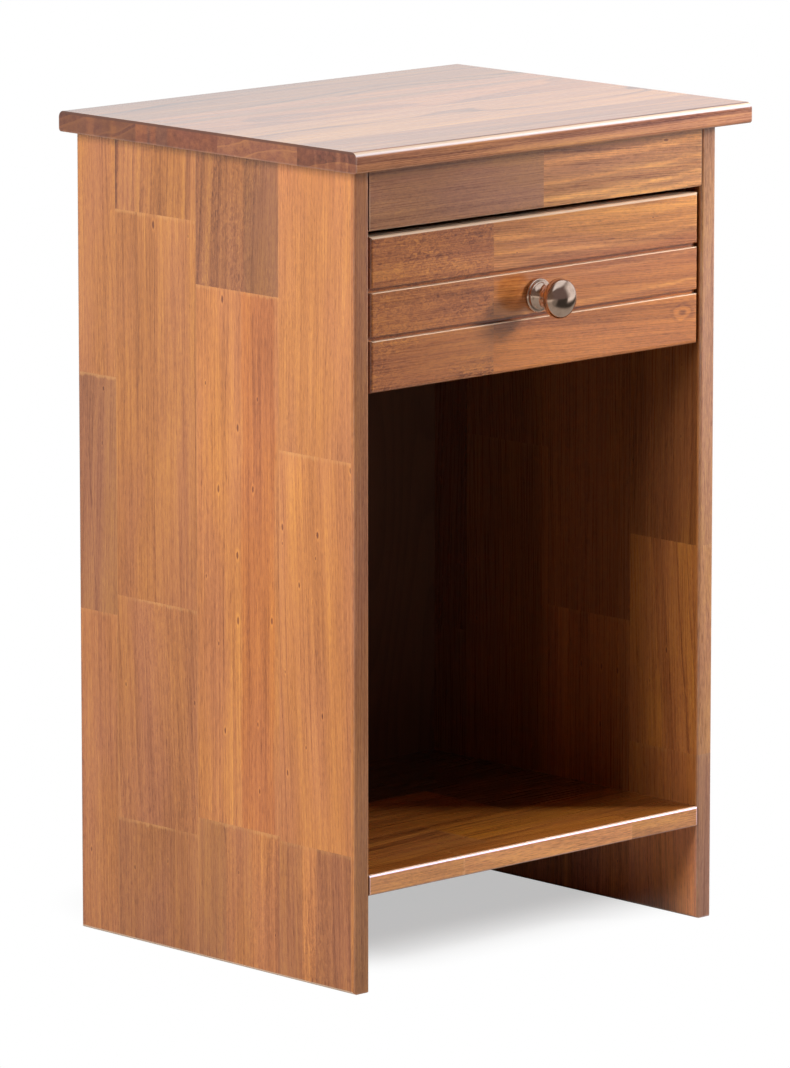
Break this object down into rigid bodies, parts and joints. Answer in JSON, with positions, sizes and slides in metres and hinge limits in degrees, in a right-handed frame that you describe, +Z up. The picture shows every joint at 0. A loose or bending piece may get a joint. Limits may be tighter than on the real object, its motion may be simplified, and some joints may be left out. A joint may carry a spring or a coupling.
{
  "type": "nightstand",
  "caption": "Wooden nightstand with a grooved drawer front and round metal knob on ball-bearing slides, above an open compartment with a raised shelf.",
  "frame": {"origin": "middle of the box that holds the whole stand, at floor level", "axes": "+X to the viewer's right when facing the drawer, -Y out of the front, +Z up"},
  "size_m": [0.39, 0.32, 0.6],
  "materials": {
    "top_board": "satin lacquer",
    "side_boards": "satin lacquer",
    "shelf_board": "satin lacquer",
    "rail_boards": "satin lacquer",
    "drawer_front_board": "satin lacquer",
    "drawer_box_wood": "satin lacquer",
    "drawer_ply": "satin lacquer",
    "back_ply": "satin lacquer",
    "beech_dowels": "raw",
    "knob_metal": "polished",
    "zinc_plated_steel": "zinc plated",
    "zinc_alloy": "die cast",
    "slide_steel": "zinc plated",
    "ball_steel": "polished",
    "black_rubber": "matt"
  },
  "bodies": {
    "case": {"top_panel": "top_board", "side_panel_left": "side_boards", "side_panel_right": "side_boards", "bottom_shelf": "shelf_board", "front_rail": "rail_boards", "rear_rail": "rail_boards", "back_panel": "back_ply", "back_panel_screws": "zinc_plated_steel", "case_dowels": "beech_dowels", "case_cam_bolts": "zinc_plated_steel", "case_cam_locks": "zinc_alloy", "slide_case_member_left": "slide_steel", "slide_case_member_right": "slide_steel", "slide_bumpers": "black_rubber", "slide_case_screws": "zinc_plated_steel"},
    "drawer": {"drawer_front": "drawer_front_board", "drawer_side_left": "drawer_box_wood", "drawer_side_right": "drawer_box_wood", "drawer_back": "drawer_box_wood", "drawer_bottom": "drawer_ply", "drawer_dowels": "beech_dowels", "drawer_cam_bolts": "zinc_plated_steel", "drawer_cam_locks": "zinc_alloy", "drawer_back_screws": "zinc_plated_steel", "drawer_bottom_screws": "zinc_plated_steel", "knob": "knob_metal", "knob_screw": "zinc_plated_steel", "slide_drawer_member_left": "slide_steel", "slide_drawer_member_right": "slide_steel", "slide_drawer_screws": "zinc_plated_steel"},
    "cage_left": {"slide_cage_left": "slide_steel", "slide_balls_left": "ball_steel"},
    "cage_right": {"slide_cage_right": "slide_steel", "slide_balls_right": "ball_steel"}
  },
  "joints": [
    {"name": "drawer_slide", "type": "slide", "parent": "case", "child": "drawer", "axis": [0, -1, 0], "range_m": [0, 0.17]},
    {"name": "cage_slide_left", "type": "slide", "parent": "case", "child": "cage_left", "axis": [0, -1, 0], "range_m": [0, 0.085]},
    {"name": "cage_slide_right", "type": "slide", "parent": "case", "child": "cage_right", "axis": [0, -1, 0], "range_m": [0, 0.085]}
  ],
  "couplings": [
    {"joint": "cage_slide_left", "follows": "drawer_slide", "ratio": 0.5},
    {"joint": "cage_slide_right", "follows": "drawer_slide", "ratio": 0.5}
  ]
}
